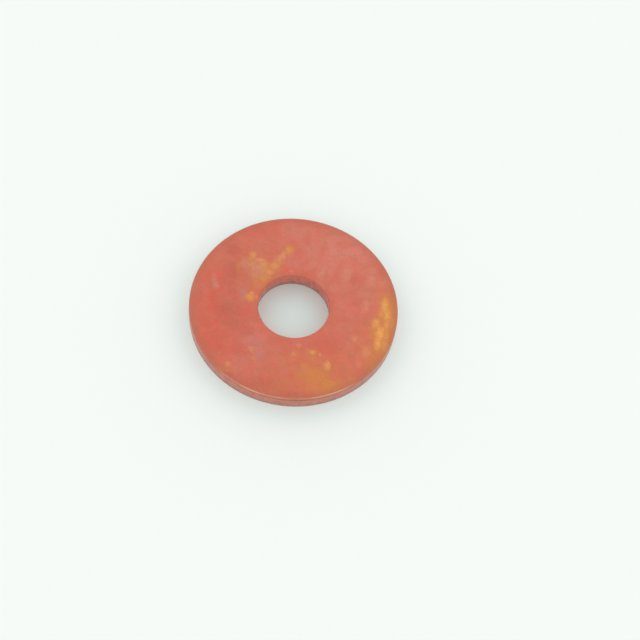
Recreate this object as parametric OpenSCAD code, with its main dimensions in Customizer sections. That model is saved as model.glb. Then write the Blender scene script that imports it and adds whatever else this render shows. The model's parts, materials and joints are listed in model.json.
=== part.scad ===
// Copper washer, blanked and pierced from strip in one stroke of a compound die.
// The stroke rolls the upper edges over, shears a smooth land below each of them,
// and tears the foot of both walls, which then draw back a little.
// Millimetres, +Z up. The washer lies on its lower face, with the origin at its middle.

/* [Ring] */
// Outside diameter at the smooth land of the rim
outer_d = 24; // [18:0.5:40]
// Diameter of the hole at the smooth land of its wall
hole_d = 8.2; // [5:0.1:12]
// Thickness of the copper strip
thickness = 2; // [1.6:0.1:4]

/* [Sheared edges] */
// Radius of the rolled-over upper edge of the rim
rim_roll = 0.3; // [0.1:0.05:0.5]
// Radius of the rolled-over upper edge of the hole
hole_roll = 0.15; // [0.05:0.05:0.4]
// Height of the torn band at the foot of both walls
torn_h = 0.7; // [0.3:0.1:0.9]
// How far each wall draws back over the torn band
torn_draw = 0.04; // [0.02:0.01:0.12]
// Width of the tumbled corners round the lower face
corner_break = 0.06; // [0.03:0.01:0.15]

/* [Hidden] */

outer_r = outer_d / 2;
hole_r = hole_d / 2;
// How far the rolled edges' cutters reach past the upper face and the walls
overcut = 0.1;
$fn = 180;

// One sheared wall in section, from its foot to the upper face. The metal lies on
// the side that inward points to: 1 for larger radii, -1 for smaller ones.
function sheared_wall(land_r, inward) = [
    [land_r + inward * (torn_draw + corner_break), 0],
    [land_r + inward * torn_draw, corner_break],
    [land_r, torn_h],
    [land_r, thickness],
];

function reversed(points) = [for (i = [len(points) - 1 : -1 : 0]) points[i]];

// What an edge of this radius loses at its corner, with the roll's centre at the origin
module roll_cut(radius) {
    difference() {
        square(radius + overcut);
        circle(radius);
    }
}

// Half section of the ring, with radius along X and height along Y
module ring_section() {
    difference() {
        polygon(concat(sheared_wall(outer_r, -1), reversed(sheared_wall(hole_r, 1))));
        translate([outer_r - rim_roll, thickness - rim_roll]) roll_cut(rim_roll);
        translate([hole_r + hole_roll, thickness - hole_roll]) mirror([1, 0]) roll_cut(hole_roll);
    }
}

module washer() {
    color("#cd735f") rotate_extrude() ring_section();
}

washer();
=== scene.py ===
"""A stamped copper washer with a red oxide bloom and ochre stains, lying on pale paper."""

import json
import math

import bmesh
import bpy
from mathutils import Matrix, Vector, noise


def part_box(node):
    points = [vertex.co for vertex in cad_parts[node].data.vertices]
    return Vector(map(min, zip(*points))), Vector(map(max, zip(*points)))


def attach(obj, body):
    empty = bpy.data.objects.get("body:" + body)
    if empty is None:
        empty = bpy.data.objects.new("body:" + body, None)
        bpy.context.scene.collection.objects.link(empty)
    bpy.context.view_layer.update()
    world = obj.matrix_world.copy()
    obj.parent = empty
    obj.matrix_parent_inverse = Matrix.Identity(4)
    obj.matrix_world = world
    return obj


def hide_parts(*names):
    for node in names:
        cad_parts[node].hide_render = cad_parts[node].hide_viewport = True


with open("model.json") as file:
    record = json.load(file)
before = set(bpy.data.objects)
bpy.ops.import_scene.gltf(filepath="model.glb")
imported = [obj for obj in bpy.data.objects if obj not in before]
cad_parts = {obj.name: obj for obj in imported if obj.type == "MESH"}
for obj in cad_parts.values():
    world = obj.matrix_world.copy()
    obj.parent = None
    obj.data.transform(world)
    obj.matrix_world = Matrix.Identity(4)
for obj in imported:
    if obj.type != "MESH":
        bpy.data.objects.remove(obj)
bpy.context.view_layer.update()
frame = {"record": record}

MM = 0.001

# The ring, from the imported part
_, RING_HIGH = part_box("washer")
RIM_R = RING_HIGH.x
THICKNESS = RING_HIGH.z
BORE = next(mount for mount in frame["record"]["mounts"] if mount["name"] == "bore")
HOLE_R = BORE["dims"]["r_mm"] * MM
MIDDLE_R = (RIM_R + HOLE_R) / 2

# The sheared edges: the same sizes as in the part
RIM_ROLL = 0.30 * MM
HOLE_ROLL = 0.15 * MM
TORN_H = 0.70 * MM
TORN_DRAW = 0.04 * MM
CORNER_BREAK = 0.06 * MM

# How finely the ring is cut up, so that its walls can be marked
STEPS_ROUND = 720
SECTORS = 8
SEAM = 0.001 * MM
ROLL_STEPS = 8
CORNER_GRAIN = 0.05 * MM
TORN_GRAIN = 0.08 * MM
LAND_GRAIN = 0.12 * MM
FACE_GRAIN = 0.35 * MM
SHARP_ANGLE = math.radians(35)

# Marks of the stroke. The torn grain: how deep and how large it is
TEAR_DEPTH = 0.03 * MM
TEAR_SIZE = 0.22 * MM
TEAR_OCTAVES = 3
# The tear line: how far it wanders, and over what length
TEAR_WANDER = 0.12 * MM
TEAR_WAVE = 1.6 * MM
WANDER_OCTAVES = 4
# The streaks down the smooth land: how deep and how far apart they are, how many times as long as
# wide, and the share of the land over which they grow to their depth
STREAK_DEPTH = 0.008 * MM
STREAK_PITCH = 0.25 * MM
STREAK_STRETCH = 8
STREAK_ONSET = 0.25
# In both fractals, how much finer each octave is than the last, and how fast they weaken
LACUNARITY = 2.0
OCTAVE_FADE = 1.0
# Nicks in the rolled rim from handling: direction in degrees, half width and depth
NICKS = (
    (-141, 0.30 * MM, 0.05 * MM),
    (-137, 0.22 * MM, 0.03 * MM),
    (-129, 0.34 * MM, 0.05 * MM),
)

# The camera that took the photograph, in its 640 x 640 frame
FRAME_PX = 640
FOCAL_PX = 2245
WASHER_PX = Vector((293.3, 310.55))
ELEVATION = math.radians(60.0)
ROLL = math.radians(7.47)
DEPTH = 258.2 * MM
CLIP_START = DEPTH / 100
SENSOR = 36.0


def linear(hex_colour):
    """The linear colour of an sRGB hex value, with full alpha."""
    channels = [int(hex_colour[i : i + 2], 16) / 255 for i in (1, 3, 5)]
    light = [c / 12.92 if c <= 0.04045 else ((c + 0.055) / 1.055) ** 2.4 for c in channels]
    return (*light, 1.0)


def add(tree, kind, links, **settings):
    """Adds a node and hands back its outputs.

    Each link gives an input its value, or the socket that feeds it."""
    node = tree.nodes.new(kind)
    for name, value in settings.items():
        setattr(node, name, value)
    for name, source in links.items():
        if isinstance(source, bpy.types.NodeSocket):
            tree.links.new(source, node.inputs[name])
        else:
            node.inputs[name].default_value = source
    return node.outputs


# Camera


def photo_camera():
    """Stands where the photograph was taken from, and is turned as it was."""
    back = Vector((0, -math.cos(ELEVATION), math.sin(ELEVATION)))
    level = Vector((1, 0, 0))
    rise = back.cross(level)
    right = level * math.cos(ROLL) + rise * math.sin(ROLL)
    up = rise * math.cos(ROLL) - level * math.sin(ROLL)
    aside = (WASHER_PX - Vector((FRAME_PX, FRAME_PX)) / 2) * DEPTH / FOCAL_PX
    middle = Vector((0, 0, THICKNESS / 2))
    data = bpy.data.cameras.new("camera")
    data.sensor_width = SENSOR
    data.lens = FOCAL_PX / FRAME_PX * SENSOR
    data.clip_start = CLIP_START
    camera = bpy.data.objects.new("camera", data)
    bpy.context.scene.collection.objects.link(camera)
    camera.matrix_world = Matrix((right, up, back)).transposed().to_4x4()
    camera.location = middle + back * DEPTH - right * aside.x + up * aside.y
    bpy.context.scene.camera = camera


# The ring


def sheared_wall(bm, land_r, metal, roll_r):
    """Draws one wall in section. Returns its foot, its end on the upper face, and its straight stretches.

    The metal lies on the side that metal points to: 1 for larger radii, -1 for smaller ones."""
    points = (
        (land_r + metal * (TORN_DRAW + CORNER_BREAK), 0),
        (land_r + metal * TORN_DRAW, CORNER_BREAK),
        (land_r, TORN_H),
        (land_r, THICKNESS - roll_r),
    )
    corners = [bm.verts.new((r, 0, z)) for r, z in points]
    stretches = [bm.edges.new(ends) for ends in zip(corners, corners[1:])]
    roll = bmesh.ops.spin(
        bm,
        geom=[corners[-1]],
        cent=(land_r + metal * roll_r, 0, THICKNESS - roll_r),
        axis=(0, 1, 0),
        angle=metal * math.pi / 2,
        steps=ROLL_STEPS,
    )
    (top,) = [g for g in roll["geom_last"] if isinstance(g, bmesh.types.BMVert)]
    return corners[0], top, zip(stretches, (CORNER_GRAIN, TORN_GRAIN, LAND_GRAIN))


def mark_walls(bm):
    """Tears the foot of both walls and streaks their smooth lands, taking metal away only.

    The attribute down tells the copper how far along a wall it is: 0 on both faces, 0 to 1 round the
    rolled edge, 1 to 2 down the land, and 2 to 3 down the torn band."""
    down = bm.verts.layers.float.new("down")
    for vert in bm.verts:
        flat = Vector((vert.co.x, vert.co.y, 0))
        outward = flat.normalized()
        is_rim = flat.length > MIDDLE_R
        land_r, roll_r, metal = (RIM_R, RIM_ROLL, -1) if is_rim else (HOLE_R, HOLE_ROLL, 1)
        land_top = THICKNESS - roll_r
        height = vert.co.z
        depth = metal * (flat.length - land_r)
        if height < SEAM:
            continue
        wander = TEAR_WANDER * noise.fractal(flat / TEAR_WAVE, OCTAVE_FADE, LACUNARITY, WANDER_OCTAVES)
        if height < TORN_H - SEAM:
            reach = height / TORN_H
            vert[down] = 3 - reach
            grain = noise.fractal(vert.co / TEAR_SIZE, OCTAVE_FADE, LACUNARITY, TEAR_OCTAVES)
            vert.co += outward * metal * TEAR_DEPTH * abs(grain)
            vert.co.z += wander * reach
        elif height < land_top + SEAM:
            reach = (land_top - height) / (land_top - TORN_H)
            vert[down] = 1 + reach
            across = Vector((flat.x, flat.y, height / STREAK_STRETCH)) / STREAK_PITCH
            streak = noise.noise(across) * min(1, reach / STREAK_ONSET)
            vert.co += outward * metal * STREAK_DEPTH * abs(streak)
            vert.co.z += wander * reach
        elif depth < roll_r:
            vert[down] = math.atan2(roll_r - depth, height - land_top) / (math.pi / 2)


def nick_rim(bm):
    """Presses the handling nicks into the rolled upper edge of the rim."""
    for degrees, half_width, depth in NICKS:
        direction = math.radians(degrees)
        outward = Vector((math.cos(direction), math.sin(direction), 0))
        press = (outward + Vector((0, 0, 1))).normalized()
        middle = outward * (RIM_R - RIM_ROLL) + Vector((0, 0, THICKNESS - RIM_ROLL)) + press * RIM_ROLL
        for vert in bm.verts:
            near = 1 - (vert.co - middle).length_squared / half_width**2
            if near > 0:
                vert.co -= press * depth * near**2


def washer_ring():
    """Turns the section of the ring into one sector, and copies of that sector into the whole."""
    bm = bmesh.new()
    rim_foot, rim_top, rim_stretches = sheared_wall(bm, RIM_R, -1, RIM_ROLL)
    hole_foot, hole_top, hole_stretches = sheared_wall(bm, HOLE_R, 1, HOLE_ROLL)
    faces = [(bm.edges.new(ends), FACE_GRAIN) for ends in ((rim_top, hole_top), (hole_foot, rim_foot))]
    for edge, grain in (*rim_stretches, *hole_stretches, *faces):
        cuts = round(edge.calc_length() / grain) - 1
        if cuts > 0:
            bmesh.ops.subdivide_edges(bm, edges=[edge], cuts=cuts)
    sector = math.tau / SECTORS
    about = {"cent": (0, 0, 0), "axis": (0, 0, 1)}
    bmesh.ops.spin(bm, geom=bm.verts[:] + bm.edges[:], angle=sector, steps=STEPS_ROUND // SECTORS, **about)
    bmesh.ops.spin(
        bm,
        geom=bm.verts[:] + bm.edges[:] + bm.faces[:],
        angle=math.tau - sector,
        steps=SECTORS - 1,
        use_duplicate=True,
        **about,
    )
    bmesh.ops.remove_doubles(bm, verts=bm.verts, dist=SEAM)
    bmesh.ops.recalc_face_normals(bm, faces=bm.faces)
    mark_walls(bm)
    nick_rim(bm)
    mesh = bpy.data.meshes.new("washer_ring")
    bm.to_mesh(mesh)
    bm.free()
    mesh.shade_smooth()
    mesh.set_sharp_from_angle(angle=SHARP_ANGLE)
    ring = bpy.data.objects.new("washer_ring", mesh)
    bpy.context.scene.collection.objects.link(ring)
    return ring


# Copper

# Stains on the upper face, from the broad blooms to the small spots. Each is given by x, y, half width
# and half height in millimetres, and strength.
ROSE_BLOOM = (
    (4.50, 7.60, 4.60, 3.20, 0.90),
    (-0.40, 9.70, 2.80, 1.50, 0.65),
    (-5.40, 8.20, 1.30, 1.00, 0.25),
    (7.40, 2.60, 2.60, 2.80, 0.60),
    (7.60, -3.60, 1.80, 2.40, 0.35),
    (-3.60, -5.60, 2.00, 1.60, 0.50),
    (-5.00, -8.00, 2.00, 1.40, 0.35),
    (9.60, 4.60, 0.90, 1.00, 0.85),
    (8.50, 4.70, 1.00, 0.80, 0.90),
    (4.30, 3.20, 0.70, 0.80, 0.60),
    (-0.80, 5.60, 0.60, 0.50, 0.60),
)
RED_BLOOM = (
    (-9.20, -2.60, 1.50, 5.40, 1.00),
    (-7.20, -6.20, 1.80, 2.20, 0.80),
    (-9.60, 3.00, 1.20, 2.00, 0.80),
    (-4.70, -1.50, 0.90, 1.20, 0.60),
    (1.00, 4.55, 2.20, 0.60, 1.00),
    (-3.60, 2.30, 0.45, 0.80, 0.80),
    (4.40, -4.90, 2.20, 1.30, 0.70),
    (-5.50, 9.40, 2.60, 0.90, 0.50),
    (-2.00, -5.20, 0.90, 0.80, 0.50),
    (-6.60, 0.20, 0.70, 0.60, 0.50),
    (-5.60, -1.60, 0.80, 0.80, 0.60),
    (0.40, -8.80, 0.80, 0.60, 0.60),
    (5.00, -6.20, 1.30, 0.60, 0.60),
    (7.60, -1.90, 0.80, 0.80, 0.35),
    (3.00, 9.40, 1.00, 0.70, 0.30),
    (-4.90, -3.20, 0.80, 0.70, 0.60),
)
ORANGE_WASH = (
    (3.80, -8.60, 4.40, 2.60, 0.90),
    (0.00, -10.60, 3.60, 1.00, 0.60),
    (9.60, -5.00, 2.20, 3.40, 0.80),
    (7.60, -8.60, 1.60, 1.20, 0.70),
    (-4.80, 3.60, 2.20, 2.60, 0.60),
    (10.00, 3.40, 1.20, 1.60, 0.50),
    (-7.00, -9.20, 1.20, 0.80, 0.60),
    (6.00, -6.20, 1.30, 1.10, 0.55),
    (2.20, -6.10, 1.00, 0.80, 0.65),
    (4.80, -6.20, 1.20, 0.60, 0.55),
    (7.60, -2.00, 0.90, 1.00, 0.35),
)
BROWN_HAZE = (
    (-7.40, -1.50, 1.30, 1.60, 0.55),
    (-6.40, -3.30, 1.20, 1.00, 0.45),
    (-7.60, 3.40, 1.00, 1.80, 0.55),
    (6.80, 4.40, 0.80, 0.80, 0.25),
    (-2.00, -10.60, 3.00, 0.80, 0.40),
    (-10.90, 0.20, 0.50, 1.40, 0.25),
    (-5.00, -4.00, 1.00, 0.80, 0.40),
    (-5.40, -6.60, 0.80, 0.70, 0.40),
    (-8.00, 6.40, 0.90, 0.90, 0.55),
    (6.60, 2.60, 0.80, 0.70, 0.25),
    (7.30, 1.70, 0.60, 0.90, 0.35),
    (-5.70, 2.70, 0.60, 0.70, 0.40),
    (-7.20, 0.70, 0.70, 0.70, 0.40),
    (-4.20, -5.80, 0.50, 0.50, 0.35),
    (1.20, -11.30, 1.40, 0.40, 0.45),
    (-5.90, -10.00, 0.80, 0.50, 0.40),
)
VIOLET_FRINGE = (
    (-5.95, 0.70, 0.45, 0.85, 0.80),
    (-5.70, 2.90, 0.70, 0.60, 0.35),
    (-6.00, 2.10, 0.70, 0.60, 0.25),
    (-6.10, 4.10, 0.30, 0.50, 0.60),
    (-4.50, -0.50, 0.30, 0.50, 0.40),
    (-3.00, -7.00, 0.50, 0.60, 0.75),
    (-3.70, -5.30, 1.20, 0.70, 0.50),
    (-0.10, -8.40, 0.50, 0.50, 0.40),
)
TAN_HAZE = (
    (-4.40, 4.50, 1.10, 0.80, 0.95),
    (-5.20, 5.10, 0.90, 0.80, 0.65),
    (-4.80, 3.50, 0.70, 0.60, 0.70),
    (-6.20, 5.00, 0.60, 0.70, 0.40),
    (-3.80, 3.40, 0.50, 0.60, 0.65),
    (-2.50, 5.80, 0.50, 0.70, 0.55),
    (-4.10, -6.20, 0.45, 0.40, 0.65),
    (2.70, 4.90, 0.25, 0.60, 0.55),
    (5.55, 5.20, 0.50, 1.00, 0.40),
    (-0.60, -7.20, 0.70, 0.60, 0.25),
    (8.50, 6.20, 0.45, 0.55, 0.40),
    (3.60, 7.30, 0.80, 0.40, 0.30),
    (8.60, 4.60, 0.60, 0.50, 0.40),
)
OCHRE_STAINS = (
    # a scatter left of the far side, down to the hole
    (-1.40, 7.40, 0.55, 0.65, 0.90),
    (-5.50, 6.15, 0.45, 0.50, 0.75),
    (-4.05, 5.15, 0.60, 0.45, 0.70),
    (-2.80, 5.00, 0.70, 0.70, 0.70),
    (-2.35, 6.10, 0.50, 0.75, 0.45),
    (-3.55, 4.60, 0.60, 0.60, 0.45),
    (-3.30, 4.10, 0.50, 0.45, 0.90),
    (-3.75, 3.40, 0.50, 0.60, 0.80),
    (-5.50, 5.40, 0.60, 0.50, 0.40),
    (-6.90, 4.20, 0.30, 0.80, 0.30),
    (-4.60, 2.50, 1.10, 0.70, 0.25),
    (-4.10, 2.40, 0.50, 0.50, 0.40),
    (-5.10, 0.45, 0.60, 0.56, 1.00),
    # a band along the right of the rim, running out towards the near side
    (10.75, 1.20, 1.05, 1.90, 1.00),
    (10.90, -0.40, 1.15, 1.20, 1.00),
    (10.50, -1.70, 1.35, 1.80, 1.00),
    (10.70, -3.80, 1.10, 1.60, 0.95),
    (10.10, -5.80, 0.80, 1.30, 0.55),
    (9.20, -5.00, 0.60, 1.00, 0.30),
    (7.80, -8.55, 0.50, 0.50, 0.60),
    # a patch on the near side
    (2.85, -5.70, 0.45, 0.40, 0.75),
    (3.00, -6.40, 0.35, 0.50, 0.45),
    (0.75, -6.10, 0.60, 0.80, 0.20),
    (4.70, -7.10, 0.40, 0.60, 0.85),
    (2.10, -7.60, 0.50, 0.50, 0.40),
    (3.40, -8.60, 1.40, 1.10, 0.62),
    (5.30, -9.70, 1.40, 0.80, 0.80),
    (4.20, -10.30, 1.80, 0.70, 0.55),
    (-6.60, -9.30, 0.45, 0.30, 0.40),
    (-3.60, -7.50, 0.25, 0.25, 0.50),
)
GOLD_GRAINS = (
    (-1.40, 7.45, 0.30, 0.40, 0.35),
    (-4.00, 5.10, 0.35, 0.25, 0.35),
    (-2.70, 4.90, 0.35, 0.35, 0.25),
    (-3.30, 4.10, 0.35, 0.30, 0.45),
    (-5.15, 0.45, 0.38, 0.32, 0.55),
    (10.35, 1.55, 0.38, 1.00, 0.75),
    (10.05, 0.50, 0.30, 0.50, 0.35),
    (10.80, 0.40, 0.38, 0.80, 0.75),
    (9.60, -0.90, 0.38, 0.60, 0.70),
    (10.85, -0.95, 0.36, 0.60, 0.50),
    (10.20, -2.05, 0.42, 0.80, 1.00),
    (10.05, -3.30, 0.36, 0.85, 0.90),
    (10.90, -2.40, 0.34, 0.80, 0.45),
    (10.85, -3.60, 0.34, 0.70, 0.60),
    (11.35, -0.50, 0.26, 0.80, 0.35),
    (2.85, -5.70, 0.24, 0.24, 0.40),
    (4.65, -7.15, 0.32, 0.46, 0.55),
)
PALE_SPOTS = (
    (-2.00, 6.60, 0.26, 0.50, 0.65),
    (-2.30, 6.15, 0.26, 0.40, 0.50),
    (-4.55, 5.60, 0.50, 0.22, 0.60),
    (-5.50, 6.15, 0.35, 0.40, 0.50),
    (-2.95, 5.00, 0.40, 0.35, 0.50),
    (-4.95, 1.00, 0.30, 0.22, 0.70),
    (-4.40, 0.60, 0.25, 0.30, 0.45),
    (2.85, -5.70, 0.22, 0.22, 0.35),
    (4.60, -7.10, 0.34, 0.50, 0.30),
    (3.65, -5.85, 0.16, 0.18, 0.60),
    (0.75, -6.20, 0.25, 0.30, 0.45),
    (1.20, -5.00, 0.28, 0.30, 0.40),
    (8.80, -4.80, 0.45, 0.65, 0.40),
    (8.20, -6.40, 0.40, 0.45, 0.30),
    (7.40, -3.20, 0.35, 0.35, 0.40),
    (8.20, 1.20, 0.35, 0.90, 0.30),
    (-6.50, -8.60, 0.30, 0.32, 0.50),
    (-0.80, 4.60, 0.30, 0.20, 0.40),
)
FADED_STREAK = (
    (-9.62, 2.55, 0.28, 0.45, 0.35),
    (-9.45, 2.05, 0.30, 0.50, 0.50),
    (-9.25, 1.60, 0.30, 0.40, 0.55),
    (-9.12, 1.30, 0.30, 0.28, 0.60),
)
# Stretches of the near rim where the lower rolled edge is paler: partly worn to bare copper by
# handling, partly a painted highlight
WORN_AND_HIGHLIT_RIM = (
    (-3.40, -11.30, 1.80, 1.20, 1.00),
    (-0.60, -11.80, 1.80, 0.80, 0.55),
    (2.40, -11.60, 1.60, 0.80, 0.35),
    (4.20, -11.10, 1.40, 1.00, 0.80),
    (6.10, -10.20, 1.80, 1.60, 1.00),
    (-6.00, -10.20, 1.60, 1.40, 0.50),
)
# Stretches of the near rim where the painted line of shade under the rolled edge is darkest
DARKEST_SHADE_RIM = (
    (0.40, -11.90, 1.40, 0.60, 0.20),
    (2.00, -11.70, 1.00, 0.60, 0.45),
)

# A stain is full in its core and gone at its end, both as shares of its half width and half height
STAIN_CORE = 0.2
STAIN_END = 1.7
# How far noise pulls the stains out of their ellipses, and the size of its swirls, in millimetres
OUTLINES = {
    "broad": (1.2, 0.7),
    "small": (0.55, 0.3),
}
SWIRL_DETAIL = 3.0
NOISE_MIDDLE = (0.5, 0.5, 0.5)
# Each kind of stain, the side that it lies on, its outline, and how thin it gets between the grains
STAINS = {
    "rose": (ROSE_BLOOM, "upper face", "broad", 0.9),
    "red": (RED_BLOOM, "upper face", "broad", 0.9),
    "orange": (ORANGE_WASH, "upper face", "broad", 0.8),
    "brown": (BROWN_HAZE, "upper face", "broad", 0.8),
    "violet": (VIOLET_FRINGE, "upper face", "broad", 0.8),
    "tan": (TAN_HAZE, "upper face", "broad", 0.6),
    "ochre": (OCHRE_STAINS, "upper face", "broad", 0.65),
    "gold": (GOLD_GRAINS, "upper face", "small", 0.6),
    "pale": (PALE_SPOTS, "upper face", "small", 0.7),
    "faded": (FADED_STREAK, "upper face", "small", 0.8),
    "worn and highlit rim": (WORN_AND_HIGHLIT_RIM, "rim side", "broad", 0.8),
    "darkest shade rim": (DARKEST_SHADE_RIM, "rim side", "broad", 0.7),
}

# Patterns in the oxide: size in millimetres across and upright, detail, the noise levels between which
# it grows, and how strong it gets. The finest are drawn coarser than real copper grain, which would
# not show.
PATTERNS = {
    "clouds": (3.0, 3.0, 3.0, 0.40, 0.62, 0.60),
    "pink": (1.4, 1.4, 2.0, 0.45, 0.68, 0.25),
    "rust": (1.0, 1.0, 1.0, 0.44, 0.66, 0.40),
    "ruddy": (1.9, 1.9, 1.0, 0.42, 0.62, 0.32),
    "grains": (0.32, 0.32, 2.0, 0.34, 0.64, 1.00),
    "specks": (0.24, 0.24, 1.0, 0.64, 0.74, 0.22),
    "pits": (0.34, 0.34, 1.0, 0.32, 0.24, 0.35),
    "tarnish": (0.60, 1.1, 2.0, 0.46, 0.68, 0.55),
    "drags": (0.14, 1.2, 2.0, 0.52, 0.70, 0.50),
    "tears": (0.20, 0.14, 2.0, 0.46, 0.62, 0.55),
}
# Relief too fine for the mesh: grit on the faces and streaks down the walls, by their size in
# millimetres, and how high it stands
GRIT_MM = (0.12, 0.12, 0.12)
STREAK_MM = (0.12, 0.12, 2.0)
RELIEF_DETAIL = 3.0
RELIEF_HEIGHT = 0.004 * MM
RELIEF_STRENGTH = 0.6

# Stretches of the copper: the measure that they run along, where they start, where they reach their
# strength, and that strength. Height and radius are in millimetres, and down is the attribute.
SPANS = {
    "upper face": ("height", 1.72, 1.9, 1.0),
    # the face turns browner towards the rim: partly its oxide, partly painted shade
    "margin": ("radius", 10.6, 11.8, 0.35),
    "rim side": ("radius", 7.9, 8.2, 1.0),
    "hole side": ("radius", 8.2, 7.9, 1.0),
    "edge": ("down", 0.0, 0.6, 1.0),
    "past roll": ("down", 0.40, 0.56, 1.0),
    "land": ("down", 0.74, 1.0, 1.0),
    "past shade line": ("down", 1.12, 1.35, 1.0),
    "low wall": ("down", 1.7, 2.4, 1.0),
    "torn": ("down", 1.92, 2.08, 1.0),
    "foot": ("down", 2.3, 2.9, 0.7),
}
# Where two of these meet, or one ends the other
MEETINGS = {
    "line": ("past roll", "land", "SUBTRACT"),
    # paler lower rolled edge of the near rim: partly wear, partly a painted highlight
    "worn and highlit": ("worn and highlit rim", "line", "MULTIPLY"),
    # painted shade: a dark line along the top of the rim's land, under the rolled edge
    "top of land": ("land", "past shade line", "SUBTRACT"),
    "shade line": ("top of land", "rim side", "MULTIPLY"),
    "darkest shade line": ("shade line", "darkest shade rim", "MULTIPLY"),
    "rim oxide and shade": ("edge", "rim side", "MULTIPLY"),
    "hole land": ("land", "hole side", "MULTIPLY"),
    "hole foot": ("low wall", "hole side", "MULTIPLY"),
    "torn grain": ("tears", "torn", "MULTIPLY"),
    "tarnished wall": ("tarnish", "land", "MULTIPLY"),
    "dragged wall": ("drags", "land", "MULTIPLY"),
}
# Colours over the bare oxide, each over the last
OXIDE = "#cc6b54"
COLOURS = {
    "clouds": "#cf735d",
    "red": "#cf604a",
    "rose": "#d4806f",
    "orange": "#cf7748",
    "pink": "#d67c6d",
    "rust": "#bf7052",
    "ruddy": "#d96353",
    "brown": "#bb5b4a",
    # partly the roll's own browner oxide, partly painted shade
    "rim oxide and shade": "#c07864",
    "violet": "#c4766f",
    "tan": "#cd8f6b",
    "ochre": "#d1893a",
    "gold": "#eea65a",
    "pale": "#e0976f",
    "faded": "#c98a7c",
    # partly the oxide's own brown, partly painted shade along the rim
    "margin": "#b5694f",
    "specks": "#dc927a",
    "pits": "#a85a48",
    "land": "#cf8776",
    # painted shade line under the rolled rim
    "shade line": "#bd7361",
    "torn": "#ca948a",
    "hole land": "#e98778",
    "hole foot": "#d7a3a0",
    "torn grain": "#a5776d",
    "tarnished wall": "#b9796a",
    "dragged wall": "#d99b8a",
    # the walls grow darker and greyer towards the foot
    "foot": "#b28a82",
    # the painted shade line, darkest in the middle of the near rim
    "darkest shade line": "#7e4330",
    # partly worn copper, partly a painted highlight
    "worn and highlit": "#e4a488",
}
# Roughness and metallic of the bare oxide, then of what shows more metal or less
OXIDE_FINISH = (0.50, 0.45)
FINISHES = {
    "ochre": (0.62, 0.25),
    "edge": (0.36, 0.80),
    "torn": (0.60, 0.70),
    "worn and highlit": (0.28, 1.00),
}

# Sockets of a Mix node that blends colours, and of one that blends numbers
UNDER, OVER, BLENDED = 6, 7, 2
LEAST, MOST, LEVEL = 2, 3, 0


def stain_cover(tree, spot, stains):
    """How much of the face a set of stains covers at a spot, with soft edges."""
    cover = 0.0
    for x, y, half_w, half_h, strength in stains:
        own = {0: spot, 1: (1 / half_w, 1 / half_h, 0.0), 2: (-x / half_w, -y / half_h, 0.0)}
        centred = add(tree, "ShaderNodeVectorMath", own, operation="MULTIPLY_ADD")[0]
        away = add(tree, "ShaderNodeVectorMath", {0: centred}, operation="LENGTH")["Value"]
        fade = {"Value": away, "From Min": STAIN_END, "From Max": STAIN_CORE, "To Max": strength}
        stain = add(tree, "ShaderNodeMapRange", fade, interpolation_type="SMOOTHSTEP")["Result"]
        cover = add(tree, "ShaderNodeMath", {0: cover, 1: stain}, operation="MAXIMUM")[0]
    return cover


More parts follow.
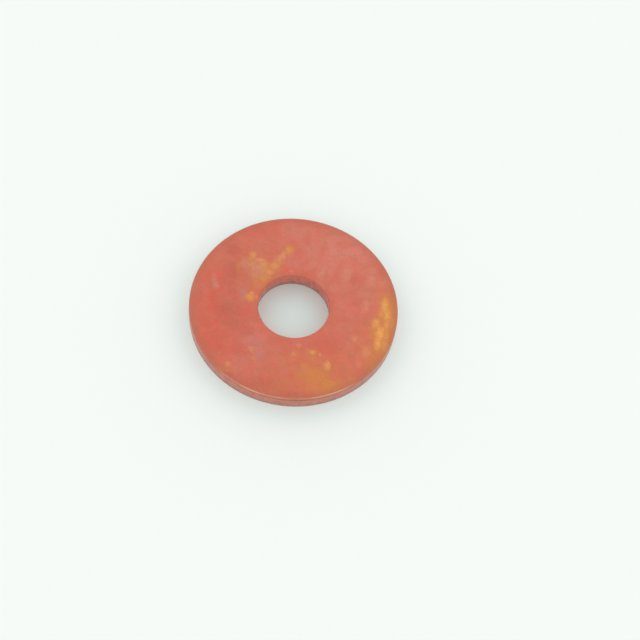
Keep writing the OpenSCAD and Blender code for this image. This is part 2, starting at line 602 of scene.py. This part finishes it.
def oxidised_copper():
    """Copper strip, rolled, stamped and kept for years.

    The faces carry a thin red oxide bloom, which dulls the metal and breaks into clouds, with ochre
    and violet stains. The rolled edges are browner, partly from their oxide and partly as painted shade.
    On the near rim their lower part is paler, partly worn by handling and partly a painted highlight,
    with a painted line of shade below it.
    The smooth lands of the walls keep some shine in streaks, and the torn bands below are dull and
    mottled, and grow darker and greyer towards the foot."""
    material = bpy.data.materials.new("oxidised_copper")
    material.use_nodes = True
    tree = material.node_tree
    tree.nodes.clear()
    place = add(tree, "ShaderNodeTexCoord", {})["Object"]
    mm = add(tree, "ShaderNodeVectorMath", {0: place, 1: (1 / MM, 1 / MM, 1 / MM)}, operation="MULTIPLY")[0]
    flat = add(tree, "ShaderNodeVectorMath", {0: mm, 1: (1.0, 1.0, 0.0)}, operation="MULTIPLY")[0]
    measures = {
        "radius": add(tree, "ShaderNodeVectorMath", {0: flat}, operation="LENGTH")["Value"],
        "height": add(tree, "ShaderNodeSeparateXYZ", {0: mm})["Z"],
        "down": add(tree, "ShaderNodeAttribute", {}, attribute_name="down")["Fac"],
    }

    cover = {}
    for name, (measure, start, end, strength) in SPANS.items():
        span = {"Value": measures[measure], "From Min": start, "From Max": end, "To Max": strength}
        cover[name] = add(tree, "ShaderNodeMapRange", span, interpolation_type="SMOOTHSTEP")["Result"]
    for name, (across, upright, detail, start, end, strength) in PATTERNS.items():
        sized = {0: mm, 1: (across, across, upright)}
        grid = add(tree, "ShaderNodeVectorMath", sized, operation="DIVIDE")[0]
        level = add(tree, "ShaderNodeTexNoise", {"Vector": grid, "Scale": 1.0, "Detail": detail})["Fac"]
        growth = {"Value": level, "From Min": start, "From Max": end, "To Max": strength}
        cover[name] = add(tree, "ShaderNodeMapRange", growth, interpolation_type="SMOOTHSTEP")["Result"]

    ragged = {}
    for name, (pull, swirl) in OUTLINES.items():
        swirls = {"Vector": mm, "Scale": 1 / swirl, "Detail": SWIRL_DETAIL}
        turns = add(tree, "ShaderNodeTexNoise", swirls)["Color"]
        aside = add(tree, "ShaderNodeVectorMath", {0: turns, 1: NOISE_MIDDLE}, operation="SUBTRACT")[0]
        reach = {0: aside, 1: (pull, pull, 0.0), 2: mm}
        ragged[name] = add(tree, "ShaderNodeVectorMath", reach, operation="MULTIPLY_ADD")[0]
    for name, (stains, side, outline, least) in STAINS.items():
        thinned = add(tree, "ShaderNodeMix", {"Factor": cover["grains"], LEAST: least, MOST: 1.0})[LEVEL]
        whole = {0: stain_cover(tree, ragged[outline], stains), 1: cover[side]}
        above = add(tree, "ShaderNodeMath", whole, operation="MULTIPLY")[0]
        cover[name] = add(tree, "ShaderNodeMath", {0: above, 1: thinned}, operation="MULTIPLY")[0]
    for name, (first, second, how) in MEETINGS.items():
        cover[name] = add(tree, "ShaderNodeMath", {0: cover[first], 1: cover[second]}, operation=how)[0]

    colour = linear(OXIDE)
    for name, tint in COLOURS.items():
        links = {"Factor": cover[name], UNDER: colour, OVER: linear(tint)}
        colour = add(tree, "ShaderNodeMix", links, data_type="RGBA")[BLENDED]
    roughness, metallic = OXIDE_FINISH
    for name, (rough, metal) in FINISHES.items():
        links = {"Factor": cover[name], LEAST: roughness, MOST: rough}
        roughness = add(tree, "ShaderNodeMix", links)[LEVEL]
        links = {"Factor": cover[name], LEAST: metallic, MOST: metal}
        metallic = add(tree, "ShaderNodeMix", links)[LEVEL]

    bumps = []
    for size in (GRIT_MM, STREAK_MM):
        grid = add(tree, "ShaderNodeVectorMath", {0: mm, 1: size}, operation="DIVIDE")[0]
        waves = {"Vector": grid, "Scale": 1.0, "Detail": RELIEF_DETAIL}
        bumps.append(add(tree, "ShaderNodeTexNoise", waves)["Fac"])
    grit, streaks = bumps
    relief = add(tree, "ShaderNodeMix", {"Factor": cover["edge"], LEAST: grit, MOST: streaks})[LEVEL]
    raised = {"Strength": RELIEF_STRENGTH, "Distance": RELIEF_HEIGHT, "Height": relief}
    normal = add(tree, "ShaderNodeBump", raised)["Normal"]
    surface = {"Base Color": colour, "Metallic": metallic, "Roughness": roughness, "Normal": normal}
    copper = add(tree, "ShaderNodeBsdfPrincipled", surface)["BSDF"]
    add(tree, "ShaderNodeOutputMaterial", {"Surface": copper})
    return material


# Stage and light

PAPER_R = 1.4
PAPER_SIDES = 96
PAPER = "#f8fdf9"
PAPER_ROUGHNESS = 0.9
PAPER_SPECULAR = 0.2
# Copper throws a pink glow on paper, and a dark shadow. In the photograph both are softened, so the
# camera sees cooler paper up to the rim and a little beyond, and outside the ring part of the paper as
# in full light. Each is given by the radii where it starts and where it is full, and its share.
COOL_PAPER = "#edfdf9"
COOL_REACH = 4 * MM
LIT_PAPER = "#f5faf6"
PAPER_SHARES = {
    "cool": (RIM_R + COOL_REACH, RIM_R, 1.0),
    "lit": (HOLE_R, RIM_R, 0.28),
}


def seen_directly(tree):
    """1 for what the camera sees, also in metal or through glass, and 0 for light on its way."""
    ray = add(tree, "ShaderNodeLightPath", {})
    seen = ray["Is Camera Ray"]
    for kind in ("Is Glossy Ray", "Is Transmission Ray"):
        seen = add(tree, "ShaderNodeMath", {0: seen, 1: ray[kind]}, operation="MAXIMUM")[0]
    return seen


def paper_floor():
    """Matt paper, pressed from bleached pulp, which scatters light evenly and hardly shines."""
    material = bpy.data.materials.new("matt_paper")
    material.use_nodes = True
    tree = material.node_tree
    tree.nodes.clear()
    place = add(tree, "ShaderNodeTexCoord", {})["Object"]
    away = add(tree, "ShaderNodeVectorMath", {0: place}, operation="LENGTH")["Value"]
    seen = seen_directly(tree)
    share = {}
    for name, (start, end, most) in PAPER_SHARES.items():
        span = {"Value": away, "From Min": start, "From Max": end, "To Max": most}
        grown = add(tree, "ShaderNodeMapRange", span, interpolation_type="SMOOTHSTEP")["Result"]
        share[name] = add(tree, "ShaderNodeMath", {0: grown, 1: seen}, operation="MULTIPLY")[0]
    # painted tint: near the washer the paper is cooler, which cancels the copper's pink glow on it
    tint = {"Factor": share["cool"], UNDER: linear(PAPER), OVER: linear(COOL_PAPER)}
    colour = add(tree, "ShaderNodeMix", tint, data_type="RGBA")[BLENDED]
    surface = {"Base Color": colour, "Roughness": PAPER_ROUGHNESS, "Specular IOR Level": PAPER_SPECULAR}
    paper = add(tree, "ShaderNodeBsdfPrincipled", surface)["BSDF"]
    # painted light: outside the ring the paper partly glows white, which lightens the washer's shadow
    lit = add(tree, "ShaderNodeEmission", {"Color": linear(LIT_PAPER), "Strength": 1.0})["Emission"]
    sheet = add(tree, "ShaderNodeMixShader", {"Fac": share["lit"], 1: paper, 2: lit})["Shader"]
    add(tree, "ShaderNodeOutputMaterial", {"Surface": sheet})
    bm = bmesh.new()
    bmesh.ops.create_circle(bm, cap_ends=True, segments=PAPER_SIDES, radius=PAPER_R)
    mesh = bpy.data.meshes.new("paper_floor")
    bm.to_mesh(mesh)
    bm.free()
    mesh.materials.append(material)
    floor = bpy.data.objects.new("paper_floor", mesh)
    bpy.context.scene.collection.objects.link(floor)


# A white tent all round: its walls light the floor more than its top does, and the far wall more
# than the near one. Seen directly or in the metal, the tent is plain white.
TENT_WALL = 2.35
TENT_TOP = 0.30
TENT_NEAR = 0.75
TENT_FAR = 1.25
TENT_WHITE = "#ffffff"


def light_tent():
    """Light from all round, with no lamp that the metal could mirror."""
    world = bpy.data.worlds.new("light_tent")
    world.use_nodes = True
    bpy.context.scene.world = world
    tree = world.node_tree
    tree.nodes.clear()
    towards = add(tree, "ShaderNodeTexCoord", {})["Generated"]
    axes = add(tree, "ShaderNodeSeparateXYZ", {0: towards})
    rise = {"Value": axes["Z"], "From Min": 0.0, "From Max": 1.0, "To Min": TENT_WALL, "To Max": TENT_TOP}
    upward = add(tree, "ShaderNodeMapRange", rise)["Result"]
    depth = {"Value": axes["Y"], "From Min": -1.0, "From Max": 1.0, "To Min": TENT_NEAR, "To Max": TENT_FAR}
    inward = add(tree, "ShaderNodeMapRange", depth)["Result"]
    glow = add(tree, "ShaderNodeMath", {0: upward, 1: inward}, operation="MULTIPLY")[0]
    strength = add(tree, "ShaderNodeMix", {"Factor": seen_directly(tree), LEAST: glow, MOST: 1.0})[LEVEL]
    cloth = {"Color": linear(TENT_WHITE), "Strength": strength}
    tent = add(tree, "ShaderNodeBackground", cloth)["Background"]
    add(tree, "ShaderNodeOutputWorld", {"Surface": tent})


photo_camera()
ring = washer_ring()
ring.data.materials.append(oxidised_copper())
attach(ring, "root")
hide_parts("washer")
paper_floor()
light_tent()

bpy.context.scene.view_settings.view_transform = "Standard"
